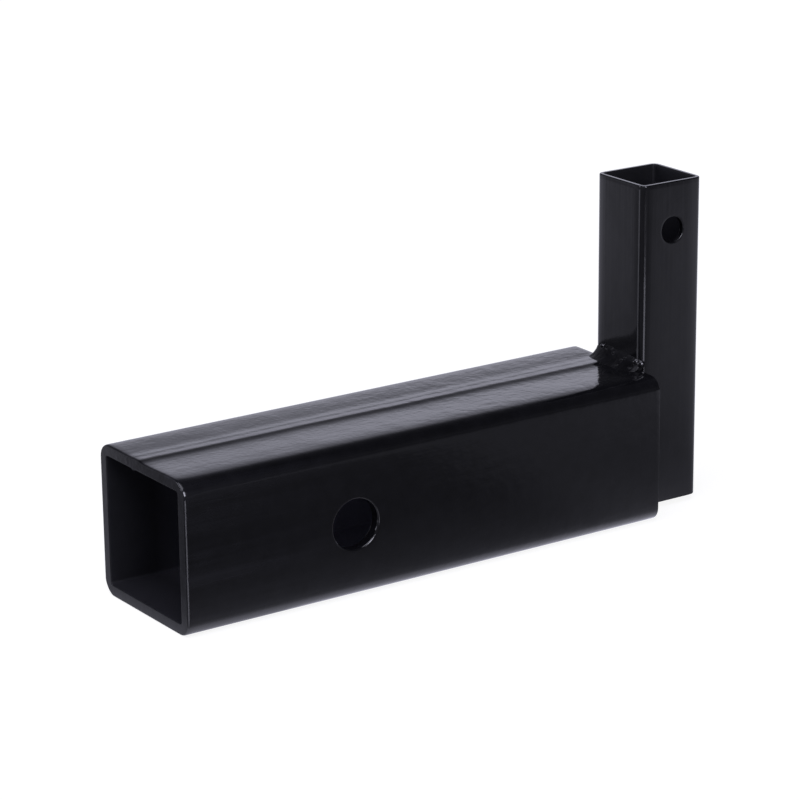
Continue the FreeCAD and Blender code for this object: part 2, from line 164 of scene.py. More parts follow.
class Tube:
    """
    A square tube as one closed skin of quads, drilled through two opposite sides. Local
    directions: u along the tube, v along the hole, w across both. The section and the lengthwise
    circuit (outside, end, inside, mouth) make a grid, and rings of quads join it to the holes.
    Sides are numbered 0 to 3, and the corner after a side has the number -1 - side.
    """

    OUTWARD = ((-1, 0), (0, 1), (1, 0), (0, -1))
    # Steps round an edge, steps across a cut face, and the distance from an edge to the row that
    # keeps the cut face flat
    ARC = 4
    CUT_STEPS = 3
    HOLD = 0.08
    # How far each ring between patch and hole has turned round, where a ring starts, the inner rim's
    # share of the outer one's rounding, and the step down the wall of a hole
    BLENDS = (0.3, 0.6, 0.85)
    RING_START = math.radians(225)
    INNER_RIM = 0.6
    HOLE_STEP = 0.7
    # Slack when places are compared
    TINY = 1e-5

    def __init__(
            self, half, corner, wall, length, breaks, hole, ease,
            step, corner_steps, patch_cells, top_marks=()):
        self.half, self.corner, self.wall, self.length = half, corner, wall, length
        self.hole_u, self.hole_w, self.hole_radius, self.rim, self.reach = hole
        self.cells = patch_cells
        self.ease_centre, self.ease_width, self.ease_depths = ease
        self.points, self.faces = [], []
        self.section(step, corner_steps, top_marks)
        self.circuit(step, breaks)
        self.grid()
        for side in (0, 2):
            self.drill(side)

    def hole_across(self, side):
        return self.hole_w if side == 0 else -self.hole_w

    def section(self, step, corner_steps, top_marks):
        flat = self.half - self.corner
        anchors, normals, sides, across = [], [], [], []
        for side, (nv, nw) in enumerate(self.OUTWARD):
            tv, tw = nw, -nv
            if side in (0, 2):
                middle = self.hole_across(side)
                stations = with_patch(-flat, flat, step, middle, self.reach, self.cells)
            else:
                stations = spread(-flat, flat, step, top_marks if side == 1 else ())
            for t in stations:
                anchors.append((nv * flat + tv * t, nw * flat + tw * t))
                normals.append((nv, nw))
                sides.append(side)
                across.append(t)
            for number in range(1, corner_steps):
                turn = math.pi / 2 * number / corner_steps
                sine, cosine = math.sin(turn), math.cos(turn)
                anchors.append(((nv + tv) * flat, (nw + tw) * flat))
                normals.append((nv * cosine + tv * sine, nw * cosine + tw * sine))
                sides.append(-1 - side)
                across.append(self.corner * turn)
        self.anchors, self.normals = np.array(anchors), np.array(normals)
        self.sides, self.across = np.array(sides), np.array(across)

    def circuit(self, step, breaks):
        start, start_deep, start_inner, end = breaks
        cut_step = self.wall / self.CUT_STEPS
        along = with_patch(start, self.length - end, step, self.hole_u, self.reach, self.cells)
        turns = [math.pi / 2 * number / self.ARC for number in range(1, self.ARC + 1)]
        loop = [(u, 0) for u in along]
        loop += [(self.length - end + end * math.sin(a), end - end * math.cos(a)) for a in turns]
        held = (end + self.HOLD, self.wall - end - self.HOLD)
        loop += [(self.length, d) for d in spread(end, self.wall - end, cut_step, held)[1:]]
        loop += [
            (self.length - end + end * math.cos(a), self.wall - end + end * math.sin(a))
            for a in turns
        ]
        first_inner = len(loop) - 1
        loop += [(u, self.wall) for u in along[::-1][1:]]
        if start_inner < start:
            loop.append((start_inner, self.wall))
        loop += [
            (start_inner - start_inner * math.sin(a), self.wall - start_inner + start_inner * math.cos(a))
            for a in turns
        ]
        held = (start_deep + self.HOLD, self.wall - start_inner - self.HOLD)
        loop += [(0, d) for d in spread(start_deep, self.wall - start_inner, cut_step, held)[::-1][1:]]
        loop += [
            (start - start * math.cos(a), start_deep - start_deep * math.sin(a))
            for a in turns[:-1]
        ]
        self.loop = np.array(loop)
        self.outer = dict(enumerate(along))
        self.inner = dict(enumerate(along[::-1], first_inner))

    def eased(self):
        """How far each column lies below the plain section, where flats run out into corners."""
        flat = self.half - self.corner
        quarter = math.pi / 2 * self.corner
        depth = np.zeros(len(self.sides))
        for corner, (before, after) in enumerate(self.ease_depths):
            following = (corner + 1) % 4
            for amount, ends in (
                (before, ((corner, self.across - flat), (-1 - corner, self.across))),
                (after, ((following, -flat - self.across), (-1 - corner, quarter - self.across))),
            ):
                for side, distance in ends:
                    bump = amount * np.exp(-((distance - self.ease_centre) / self.ease_width) ** 2)
                    depth += np.where(self.sides == side, bump, 0)
        return depth

    def dip(self, along, sides, across):
        """How far the outside lies below flat, and how far the inside stands proud."""
        return 0.0, 0.0

    def grid(self):
        u, d = self.loop[:, 0], self.loop[:, 1]
        outside, inside = self.dip(u[:, None], self.sides[None], self.across[None])
        share = (d / self.wall)[:, None]
        depth = d[:, None] + (outside + self.eased()) * (1 - share) + inside * share
        vw = self.anchors + self.normals * (self.corner - depth[..., None])
        uu = np.broadcast_to(u[:, None, None], vw.shape[:2] + (1,))
        self.points = list(np.concatenate([uu, vw], axis=-1).reshape(-1, 3))
        rows, columns = vw.shape[:2]
        self.columns = columns
        cut = self.cut_cells()
        for i in range(rows):
            for j in range(columns):
                if (i, j) in cut:
                    continue
                cell = ((i, j), (i + 1, j), (i + 1, j + 1), (i, j + 1))
                self.faces.append(tuple(a % rows * columns + b % columns for a, b in cell))

    def patch_columns(self, side):
        distance = np.abs(self.across - self.hole_across(side))
        return np.flatnonzero((self.sides == side) & (distance < self.reach + self.TINY))

    def patch_rows(self, stations):
        return [row for row, u in stations.items() if abs(u - self.hole_u) < self.reach + self.TINY]

    def cut_cells(self):
        cut = set()
        for side in (0, 2):
            for stations in (self.outer, self.inner):
                for i in self.patch_rows(stations)[:-1]:
                    for j in self.patch_columns(side)[:-1]:
                        cut.add((i, j))
        return cut

    def square(self, side, stations):
        """The grid's points round a patch, anticlockwise in (u, t) from the corner low in both."""
        columns = list(self.patch_columns(side))
        rows = self.patch_rows(stations)
        if self.loop[rows[0], 0] > self.loop[rows[-1], 0]:
            rows = rows[::-1]
        path = [(i, columns[0]) for i in rows[:-1]]
        path += [(rows[-1], j) for j in columns[:-1]]
        path += [(i, columns[-1]) for i in rows[::-1][:-1]]
        path += [(rows[0], j) for j in columns[::-1][:-1]]
        return [i * self.columns + j for i, j in path]

    def drill(self, side):
        nv, nw = self.OUTWARD[side]
        tv, tw = nw, -nv
        middle = self.hole_across(side)
        outer, inner = self.square(side, self.outer), self.square(side, self.inner)
        count = len(outer)
        angles = self.RING_START + 2 * math.pi * np.arange(count) / count

        def place(u, t, depth):
            out = self.half - depth
            return np.array([u, nv * out + tv * t, nw * out + tw * t])

        def flat_ring(square, share, radius, depth):
            ring = []
            for number, angle in enumerate(angles):
                u, v, w = self.points[square[number]]
                t = tv * v + tw * w
                circle_u = self.hole_u + radius * math.cos(angle)
                circle_t = middle + radius * math.sin(angle)
                ring.append(place(u + (circle_u - u) * share, t + (circle_t - t) * share, depth))
            return ring

        def round_ring(radius, depth):
            return [
                place(self.hole_u + radius * math.cos(a), middle + radius * math.sin(a), depth)
                for a in angles
            ]

        rim, radius, wall = self.rim, self.hole_radius, self.wall
        inner_rim = rim * self.INNER_RIM
        turns = [math.pi / 2 * number / self.ARC for number in range(self.ARC + 1)]
        rings = [flat_ring(outer, share, radius + rim, 0) for share in self.BLENDS]
        rings += [
            round_ring(radius + rim - rim * math.sin(a), rim - rim * math.cos(a))
            for a in turns
        ]
        depths = spread(rim, wall - inner_rim, self.HOLE_STEP)
        rings += [round_ring(radius, depth) for depth in depths[1:]]
        rings += [
            round_ring(radius + inner_rim * (1 - math.cos(a)), wall - inner_rim * (1 - math.sin(a)))
            for a in turns[1:]
        ]
        rings += [flat_ring(inner, share, radius + inner_rim, wall) for share in self.BLENDS[::-1]]
        indices = [outer]
        for ring in rings:
            indices.append(list(range(len(self.points), len(self.points) + count)))
            self.points += ring
        indices.append(inner)
        for one, two in zip(indices, indices[1:]):
            for number in range(count):
                after = (number + 1) % count
                self.faces.append((one[number], one[after], two[after], two[number]))


# How deep the tube's top lies below flat, from its near corner to its far one: two hollows scarfed
# beside the long seam, with a low ridge between them
SEAM_PROFILE = (
    (-19.5, 0.20), (-17, 0.20), (-13, 0.25), (-8, 0.37), (-5.5, 0.42), (-3.5, 0.44), (-1.6, 0.41),
    (-0.5, 0.33), (0.4, 0.18), (1.3, 0), (2.2, 0), (3.5, 0.035), (4.6, 0.065), (5.6, 0.052),
    (6.4, 0.072), (7.5, 0.11), (8.4, 0.125), (9.5, 0.12), (11.5, 0.08), (13.5, 0.035),
    (15.5, 0.015), (19.5, 0),
)
SEAM_BLUR = 0.3
SEAM_PITCH = 0.05

# Across the seam, and at both edges of the flash, the skin has a finer grid
SEAM_FROM, SEAM_TO, SEAM_GRID = -13, 14, 0.35
SEAM_MARKS = (
    *np.arange(SEAM_FROM, SEAM_TO, SEAM_GRID), FLASH_Y - FLASH_HALF, FLASH_Y + FLASH_HALF,
)

# The near corner lies a little low. At the mouth both top corners are dressed down, over a length.
NEAR_EDGE_DEPTH = 0.20
MOUTH_DRESSING = 0.40
MOUTH_DRESSING_LENGTH = 3.5


def seam_table():
    """The seam's profile, smoothed: places across the top and the depths there."""
    y, depth = np.array(SEAM_PROFILE).T
    reach = 4 * SEAM_BLUR
    across = np.arange(y[0], y[-1], SEAM_PITCH)
    rough = np.interp(np.arange(y[0] - reach, y[-1] + reach, SEAM_PITCH), y, depth)
    kernel = np.exp(-0.5 * (np.arange(-reach, reach, SEAM_PITCH) / SEAM_BLUR) ** 2)
    smooth = np.convolve(rough, kernel / kernel.sum(), mode="same")
    return across, smooth[round(reach / SEAM_PITCH):][:len(across)]


smoothed_seam = seam_table()


def seam_depth(y):
    return np.interp(y, *smoothed_seam)


# Along the tube the seam wanders from side to side, and its hollows grow deeper and shallower. Each
# wave has a height, a length and a phase.
SEAM_WANDER = ((0.10, 9.7, 1.0), (0.07, 4.1, 0.0), (0.12, 27.0, 0.0))
DEPTH_WANDER = ((0.08, 13.0, 0.4),)


def wander(along, waves):
    return sum(height * np.sin(along / length + phase) for height, length, phase in waves)


class SeamedTube(Tube):
    """A tube with the long seam: hollows scarfed beside it outside and the flash left inside."""

    def dip(self, along, sides, across):
        drift = wander(along, SEAM_WANDER)
        deeper = 1 + wander(along, DEPTH_WANDER)
        hollow = seam_depth(across - drift) * deeper
        flash = FLASH_HEIGHT * np.clip(1 - ((across - drift - FLASH_Y) / FLASH_HALF) ** 2, 0, None)
        corner_share = np.clip(across / (math.pi / 2 * self.corner), 0, 1)
        sunk = NEAR_EDGE_DEPTH * corner_share ** 2 * (3 - 2 * corner_share) * deeper
        dressed = MOUTH_DRESSING * np.exp(-along / MOUTH_DRESSING_LENGTH)
        dressed = dressed * np.sin(np.pi * corner_share) * np.isin(sides, (-1, -3))
        outside = np.where(sides == 1, hollow, np.where(sides == -1, sunk, 0)) + dressed
        return outside, flash * (sides == 1)


# The shank

# The saw's cut is out of square, by so much at the near and at the far side, and that fades out over
# a length. The near edge of the mouth is ground back further than the others, in the outer skin, and
# less and less further in.
MOUTH_SKEW = (0.30, -0.40)
SKEW_LENGTH = 6
MOUTH_BREAK = 0.9
NEAR_BREAK = 1.2
NEAR_BREAK_LENGTH = 8
NEAR_SKIN = 3.0
NEAR_SKIN_FADE = 2.4

shank_length = shank_high[0] - shank_low[0]
shank_tube = SeamedTube(
    half=SHANK_HALF, corner=SHANK_CORNER, wall=SHANK_WALL, length=shank_length,
    breaks=Breaks(mouth=MOUTH_BREAK, mouth_deep=0.45, mouth_inner=0.3, end=0.15),
    hole=Hole(u=-shank_low[0], w=-SHANK_MID_Z, radius=PIN_HOLE_RADIUS, rim=0.7, reach=12.0),
    ease=Ease(centre=2.0, width=2.5, depths=((0.08, 0.16), (0.08, 0.05), (0.05, 0.05), (0.05, 0.05))),
    step=1.6, corner_steps=12, patch_cells=16, top_marks=SEAM_MARKS,
)
u, v, w = np.array(shank_tube.points).T
near_skin = np.clip((NEAR_SKIN - SHANK_HALF - v) / NEAR_SKIN_FADE, 0, 1)
skew = np.interp(v, (-SHANK_HALF, SHANK_HALF), MOUTH_SKEW)
u = u + NEAR_BREAK * near_skin * np.interp(u, (0, MOUTH_BREAK, NEAR_BREAK_LENGTH), (0, 1, 0))
u = u + skew * np.clip(1 - u / SKEW_LENGTH, 0, 1)
shank_points = np.column_stack([shank_low[0] + u, v, SHANK_MID_Z + w])
shank = make_piece("shank", "shank_tube", shank_points, shank_tube.faces)


# The post

post_length = post_high[2] - post_low[2]
cross_hole_u = post_length - CROSS_HOLE_FROM_TOP
post_tube = Tube(
    half=POST_HALF, corner=POST_CORNER, wall=POST_WALL, length=post_length,
    breaks=Breaks(mouth=0.3, mouth_deep=0.3, mouth_inner=0.3, end=0.42),
    hole=Hole(u=cross_hole_u, w=0.0, radius=CROSS_HOLE_RADIUS, rim=0.25, reach=6.6),
    ease=Ease(centre=0.6, width=1.5, depths=((0.12, 0.05), (0.05, 0.05), (0.05, 0.12), (0.05, 0.05))),
    step=1.4, corner_steps=8, patch_cells=12,
)
u, v, w = np.array(post_tube.points).T
post_points = np.column_stack([POST_MID[0] + w, POST_MID[1] + v, post_low[2] + u])
post = make_piece("post", "post_tube", post_points, post_tube.faces)


# Weld metal

def surface_net(field, origin, pitch):
    """A closed mesh of quads where a sampled field passes through zero."""
    inside = field < 0
    cells = tuple(n - 1 for n in field.shape)
    total = np.zeros(cells + (3,))
    crossings = np.zeros(cells)
    for axis in range(3):
        low = [slice(None)] * 3
        high = [slice(None)] * 3
        low[axis], high[axis] = slice(0, -1), slice(1, None)
        a, b = field[tuple(low)], field[tuple(high)]
        crossed = (a < 0) != (b < 0)
        share = np.where(crossed, a / np.where(crossed, a - b, 1), 0)
        others = [k for k in range(3) if k != axis]
        for step_one in (0, 1):
            for step_two in (0, 1):
                pick = [slice(None)] * 3
                for other, step in zip(others, (step_one, step_two)):
                    pick[other] = slice(step, cells[other] + step)
                hit = crossed[tuple(pick)]
                place = np.zeros(cells + (3,))
                place[..., axis] = share[tuple(pick)]
                place[..., others[0]] = step_one
                place[..., others[1]] = step_two
                total += np.where(hit[..., None], place, 0)
                crossings += hit
    active = crossings > 0
    number = np.full(cells, -1)
    number[active] = np.arange(active.sum())
    where = np.argwhere(active)
    points = origin + pitch * (where + total[active] / crossings[active][:, None])
    faces = []
    for axis in range(3):
        one, two = [k for k in range(3) if k != axis]
        low = [slice(1, -1)] * 3
        high = [slice(1, -1)] * 3
        low[axis], high[axis] = slice(0, -1), slice(1, None)
        flips = inside[tuple(low)] != inside[tuple(high)]
        spots = np.argwhere(flips)
        spots[:, one] += 1
        spots[:, two] += 1
        quad = []
        for back_one, back_two in ((1, 1), (0, 1), (0, 0), (1, 0)):
            spot = spots.copy()
            spot[:, one] -= back_one
            spot[:, two] -= back_two
            quad.append(number[tuple(spot.T)])
        faces.append(np.column_stack(quad))
    return points, np.concatenate(faces)


def smooth_min(a, b, blend):
    share = np.clip(0.5 + 0.5 * (b - a) / blend, 0, 1)
    return b + (a - b) * share - blend * share * (1 - share)


def smooth_max(a, b, blend):
    return -smooth_min(-a, -b, blend)


def square_prism(points, middle, half, corner, axes):
    """How far outside a square prism with round corners each point lies."""
    offset = np.abs(points[..., axes] - np.array(middle)) - (half - corner)
    outside = np.linalg.norm(np.maximum(offset, 0), axis=-1)
    return outside + np.minimum(offset.max(axis=-1), 0) - corner


def samples(low, high, pitch):
    axes = [np.arange(a, b + pitch, pitch) for a, b in zip(low, high)]
    return np.stack(np.meshgrid(*axes, indexing="ij"), axis=-1), np.array([axis[0] for axis in axes])


# The grid that the welds are sampled on, and how deep their metal reaches into the tubes, so that
# nothing shows between them
BEAD_PITCH = 0.17
FUSED = 0.08


def weld(name, cad_node, low, high, field_of):
    """Weld metal: the surface of a field of distances, sampled between two corners."""
    points, origin = samples(low, high, BEAD_PITCH)
    mesh_points, faces = surface_net(field_of(points), origin, BEAD_PITCH)
    return make_piece(name, cad_node, mesh_points, faces)


# The top bead's legs. Counted in legs, the centre of its hollow face lies FACE_CENTRE out from both
# tubes, and the metal ends CUT_OFF / CUT_OFF_SLOPE out.
LEG_ON_SHANK = 5.0
LEG_ON_POST = 4.7
FACE_CENTRE = 1.7
CUT_OFF = 5.6
CUT_OFF_SLOPE = 4.5

# Towards its ends the bead shrinks, from this far out, over this length and a little past it. The
# shares are what the leg on the shank loses, and the leg on the post at its far and near ends.
SHRINK_START = 5.0
SHRINK_LENGTH = 7.0
SHRINK_MOST = 1.1
SHRINK_ON_SHANK = 0.36
SHRINK_FAR = 0.56
SHRINK_NEAR = 0.42

# Its ends lie inside the post's width and are round, and it reaches a little way round the corners
END_INSET = 0.5
END_ROUNDING = 1.6
ROUND_CORNER = 3.0

# Its unevenness: lumps as a share of the legs, and a fine grain
LUMPS = 0.012
GRAIN = 0.016
lump_waves = Waves(6.5)
grain_waves = Waves(1.5)

# Soft swellings of the bead: away from the post, across and up from the joint, with radius and rise
SWELLINGS = (
    (1.0, 7.2, 3.0, 1.5, 0.077), (1.0, 1.1, 3.2, 1.4, 0.07), (1.0, -3.3, 3.2, 1.4, 0.077),
    (3.4, 2.1, 1.0, 1.4, 0.07), (3.4, -4.5, 1.0, 1.4, 0.077), (3.2, -10.2, 1.0, 1.3, 0.07),
)

# Round drops on the bead: centre, radius, how flat and how softly each runs into it. Two big ones lie
# at the near corner, a third at the far end, and six small ones along the bead. The flat ones are
# pressed along one direction.
Drop = namedtuple("Drop", "centre radius flat blend")
BIG_DROPS = (
    Drop((121.90, -12.4, 28.5), 1.4, 0.62, 0.15),
    Drop((122.75, -14.0, 28.1), 1.4, 0.62, 0.15),
    Drop((121.5, 5.7, 30.1), 0.8, 0.9, 0.4),
)
SMALL_DROPS = (
    Drop((121.05, -0.8, 29.17), 0.55, 1.0, 0.4),
    Drop((120.23, -6.3, 28.16), 0.55, 1.0, 0.4),
    Drop((118.37, -6.3, 26.65), 0.55, 1.0, 0.4),
    Drop((120.91, -7.4, 28.97), 0.5, 1.0, 0.4),
    Drop((119.44, -11.7, 26.78), 0.5, 1.0, 0.4),
    Drop((121.43, 3.2, 29.76), 0.45, 1.0, 0.4),
)
DROP_FACE = np.array((-0.443, -0.82, 0.357))


def drop_field(points, drop):
    """Roughly how far outside a drop each point lies."""
    offset = points - np.array(drop.centre)
    facing = offset @ DROP_FACE
    return np.sqrt((offset ** 2).sum(axis=-1) + (1 / drop.flat ** 2 - 1) * facing ** 2) - drop.radius


def top_bead(points):
    """The fillet bead on top of the shank. It turns a little round each corner of the post."""
    away = SHANK_END - points[..., 0]
    up = points[..., 2] - SHANK_TOP + seam_depth(points[..., 1])
    across = points[..., 1] - POST_MID[1]
    ending = np.clip((np.abs(across) - SHRINK_START) / SHRINK_LENGTH, 0, SHRINK_MOST) ** 2
    lumped = 1 + LUMPS * lump_waves(points)
    a = away / (LEG_ON_SHANK * lumped * (1 - SHRINK_ON_SHANK * ending))
    b = up / (LEG_ON_POST * lumped * (1 - np.where(across > 0, SHRINK_FAR, SHRINK_NEAR) * ending))
    radius = math.sqrt((FACE_CENTRE - 1) ** 2 + FACE_CENTRE ** 2)
    body = radius - np.sqrt((FACE_CENTRE - a) ** 2 + (FACE_CENTRE - b) ** 2)
    body = body * (LEG_ON_SHANK + LEG_ON_POST) / 2
    body = np.maximum(body, np.maximum(a, b) * CUT_OFF_SLOPE - CUT_OFF)
    for s_away, s_across, s_up, s_radius, rise in SWELLINGS:
        gap = (away - s_away) ** 2 + (across - s_across) ** 2 + (up - s_up) ** 2
        body = body - rise * np.exp(-gap / s_radius ** 2)
    body = body - GRAIN * grain_waves(points)
    body = smooth_max(body, np.abs(across) - POST_HALF + END_INSET, END_ROUNDING)
    body = np.maximum(body, -ROUND_CORNER - away)
    for drop in BIG_DROPS + SMALL_DROPS:
        body = smooth_min(body, drop_field(points, drop), drop.blend)
    tube = square_prism(points, POST_MID, POST_HALF, POST_CORNER, [0, 1])
    return np.maximum(np.maximum(body, -(tube + FUSED)), -up - FUSED)


# The foot weld's legs, how uneven they are, the pitch of its ripples, and how far inside the post's
# width it ends
FOOT_LEG = 1.45
FOOT_UNEVEN = 0.12
FOOT_RIPPLE = 1.9
FOOT_INSET = 0.6


def foot_bead(points):
    """The small weld under the foot of the post, against the end of the shank's lower wall."""
    away = points[..., 0] - SHANK_END
    down = post_low[2] - points[..., 2]
    across = points[..., 1] - POST_MID[1]
    leg = FOOT_LEG + FOOT_UNEVEN * (lump_waves(points) + np.cos(2 * math.pi * across / FOOT_RIPPLE))
    body = (away + down - leg) / math.sqrt(2)
    body = np.maximum(body, np.abs(across) - POST_HALF + FOOT_INSET)
    return np.maximum(np.maximum(body, -FUSED - away), -FUSED - down)


# The corners of the boxes that are sampled lie well outside the welds
bead_low = (SHANK_END - 6.4, POST_MID[1] - POST_HALF - 2.6, SHANK_TOP - 0.6)
bead_high = (SHANK_END + 5.4, POST_MID[1] + POST_HALF + 2.6, SHANK_TOP + 6.2)
bead = weld("top_bead", "top_weld", bead_low, bead_high, top_bead)
foot_low = (SHANK_END - 0.5, POST_MID[1] - POST_HALF - 0.5, post_low[2] - 2.2)
foot_high = (SHANK_END + 2.2, POST_MID[1] + POST_HALF + 0.5, post_low[2] + 0.5)
foot = weld("foot_bead", "foot_weld", foot_low, foot_high, foot_bead)


# Materials

def node(tree, kind, inputs=None, **settings):
    made = tree.nodes.new(kind)
    for key, value in settings.items():
        setattr(made, key, value)
    for key, value in (inputs or {}).items():
        if isinstance(value, bpy.types.NodeSocket):
            tree.links.new(value, made.inputs[key])
        else:
            made.inputs[key].default_value = value
    return made


def maths(tree, operation, *values):
    return node(tree, "ShaderNodeMath", dict(enumerate(values)), operation=operation).outputs[0]


def split(tree, vector):
    return node(tree, "ShaderNodeSeparateXYZ", {"Vector": vector}).outputs


def mapped(tree, value, low, high, to_low, to_high):
    made = node(tree, "ShaderNodeMapRange", {
        "Value": value, "From Min": low, "From Max": high, "To Min": to_low, "To Max": to_high})
    return made.outputs["Result"]


def grey(level):
    return (level, level, level, 1)


def mix(tree, blend, one, two, share=1.0):
    made = node(tree, "ShaderNodeMix", {0: share, 6: one, 7: two}, data_type="RGBA", blend_type=blend)
    return made.outputs[2]


def ramp(tree, value, stops):
    """A grey ramp: the brightness at each of some values, straight between them."""
    low, high = stops[0][0], stops[-1][0]
    made = node(tree, "ShaderNodeValToRGB", {"Fac": mapped(tree, value, low, high, 0.0, 1.0)})
    scale = made.color_ramp
    while len(scale.elements) < len(stops):
        scale.elements.new(0.5)
    for element, (position, level) in zip(scale.elements, stops):
        element.position = (position - low) / (high - low)
        element.color = grey(level)
    return made.outputs["Color"]


def noise(tree, coordinate, scale, detail, roughness):
    made = node(tree, "ShaderNodeTexNoise", {
        "Vector": coordinate, "Scale": scale, "Detail": detail, "Roughness": roughness})
    return made.outputs["Fac"]


def drawn_noise(tree, place, draw_axis, along, scale, detail, roughness):
    """Noise that is drawn out along one axis: its scale per metre is much lower there."""
    stretch = [ACROSS_THE_DRAW] * 3
    stretch[draw_axis] = along
    made = node(tree, "ShaderNodeMapping", {"Vector": place, "Scale": stretch}, vector_type="POINT")
    return noise(tree, made.outputs["Vector"], scale, detail, roughness)


def along_shank(tree, place, span, to_low, to_high):
    """A value that changes along the shank, between two places in metres."""
    return mapped(tree, split(tree, place)["X"], *span, to_low, to_high)


def bumped(tree, height, distance, below=None):
    """The normal of a bump, on top of the one below."""
    inputs = {"Height": height, "Distance": distance, "Strength": 1.0}
    if below is not None:
        inputs["Normal"] = below
    return node(tree, "ShaderNodeBump", inputs).outputs["Normal"]


def empty_tree(owner):
    owner.use_nodes = True
    owner.node_tree.nodes.clear()
    return owner.node_tree


# The powder coat's noises, per metre, and the heights of its bumps, in metres
ACROSS_THE_DRAW = 2600.0
ALONG_LINES, ALONG_SCUFFS = 22.0, 60.0
PEEL_SCALE, WAVE_SCALE, BLOTCH_SCALE, RIPPLE_SCALE = 620.0, 75.0, 190.0, 330.0
PEEL_HEIGHT, WAVE_HEIGHT, LINE_HEIGHT, RIPPLE_HEIGHT = 0.00002, 0.00012, 0.00001, 0.00007

# Its colour, how much that varies, and how much stronger its blue is
COAT_COLOUR, COAT_SPREAD, COAT_BLUE = 0.0085, 0.0018, 1.2

# The stretches of noise that its colour, gloss and scuffs go by, and how far its roughness varies
COLOUR_SPAN, GLOSS_SPAN, SCUFF_SPAN = (0.35, 0.7), (0.3, 0.75), (0.46, 0.74)
ROUGH_MIDDLE, ROUGH_LESS, ROUGH_MORE = 1.07, 0.27, 0.28

# Where along the shank, in metres, the scuffs fade out, the ripples come in and the bore is painted
# paler, as painted light deeper in the tube
SCUFFS_FADE = (-0.055, 0.010)
RIPPLES_RISE = (0.0, 0.05)
PAINTED_LIGHT_RISE = (-0.046, 0.003)


def powder_coat(
        name, draw_axis, roughness, peel, waves, lines=0.0,
        shade=1.0, vary=1.0, scuff=0.0, painted_light_deep=0.0, specular=0.5):
    """
    Gloss black powder coat: orange peel, slow waves and faint lines along the drawn tube. With scuff
    it has dull scuffs towards the mouth and ripples towards the post, and it can be painted paler
    away from the mouth, as painted light deep in the bore.
    """
    material = bpy.data.materials.new(name)
    tree = empty_tree(material)
    place = node(tree, "ShaderNodeTexCoord").outputs["Object"]
    blotch = noise(tree, place, BLOTCH_SCALE, detail=3.0, roughness=0.6)
    peel_noise = noise(tree, place, PEEL_SCALE, detail=2.0, roughness=0.45)
    wave_noise = noise(tree, place, WAVE_SCALE, detail=2.0, roughness=0.5)
    line_noise = drawn_noise(
        tree, place, draw_axis, ALONG_LINES, scale=0.35, detail=3.0, roughness=0.6)
    normal = bumped(tree, peel_noise, PEEL_HEIGHT * peel)
    normal = bumped(tree, wave_noise, WAVE_HEIGHT * waves, normal)
    normal = bumped(tree, line_noise, LINE_HEIGHT * lines, normal)
    darkest, palest = ((COAT_COLOUR + sign * COAT_SPREAD * vary) * shade for sign in (-1, 1))
    dark = mapped(tree, blotch, *COLOUR_SPAN, darkest, palest)
    if scuff:
        streaks = drawn_noise(
            tree, place, draw_axis, ALONG_SCUFFS, scale=0.06, detail=4.0, roughness=0.62)
        rubbed = mapped(tree, streaks, *SCUFF_SPAN, 0.0, scuff)
        near_mouth = along_shank(tree, place, SCUFFS_FADE, 1.0, 0.0)
        dark = maths(tree, "ADD", dark, maths(tree, "MULTIPLY", rubbed, near_mouth))
        ripple = noise(tree, place, RIPPLE_SCALE, detail=1.0, roughness=0.4)
        near_post = along_shank(tree, place, RIPPLES_RISE, 0.0, 1.0)
        normal = bumped(tree, maths(tree, "MULTIPLY", ripple, near_post), RIPPLE_HEIGHT, normal)
    # Painted light: the bore's colour grows paler away from the mouth, standing in for light deep inside
    # the tube
    if painted_light_deep:
        dark = maths(tree, "ADD", dark, along_shank(tree, place, PAINTED_LIGHT_RISE, 0.0, painted_light_deep))
    colour = node(tree, "ShaderNodeCombineColor", {
        "Red": dark, "Green": dark, "Blue": maths(tree, "MULTIPLY", dark, COAT_BLUE)})
    smoothest = roughness * (ROUGH_MIDDLE - ROUGH_LESS * vary)
    roughest = roughness * (ROUGH_MIDDLE + ROUGH_MORE * vary)
    shader = node(tree, "ShaderNodeBsdfPrincipled", {
        "Base Color": colour.outputs["Color"], "Normal": normal,
        "Roughness": mapped(tree, blotch, *GLOSS_SPAN, smoothest, roughest),
        "IOR": 1.5, "Specular IOR Level": specular})
    node(tree, "ShaderNodeOutputMaterial", {"Surface": shader.outputs["BSDF"]})
    return material


# The skin of a bore lies within this of its plain size. The glossier drops are coated this far out
# from their surface, and above a waist this much over their centre.
BORE_SLACK = 0.05
DROP_SKIN = 0.12
DROP_WAIST = 0.2


def coat(piece, material, second=None, chosen=None):
    """Coat a piece, and with a second coat the faces whose centres are chosen."""
    piece.data.materials.append(material)
    if second is not None:
        piece.data.materials.append(second)
        for polygon in piece.data.polygons:
            if chosen(np.array(polygon.center) / MM):
                polygon.material_index = 1


# Which faces have a second coat: a duller one inside the tubes, out of the spray's reach, whose colour
# is painted paler as painted light inside the tubes, and a glossier one on the upper parts of the big
# drops

def in_shank_bore(point):
    room = SHANK_HALF - SHANK_WALL + BORE_SLACK
    return np.abs(point[1:] - (0, SHANK_MID_Z)).max() < room


def in_post_bore(point):
    room = POST_HALF - POST_WALL + BORE_SLACK
    return np.abs(point[:2] - POST_MID).max() < room


def on_big_drop(point):
    return any(
        np.linalg.norm(point - drop.centre) < drop.radius + DROP_SKIN
        and point[2] > drop.centre[2] + DROP_WAIST
        for drop in BIG_DROPS
    )


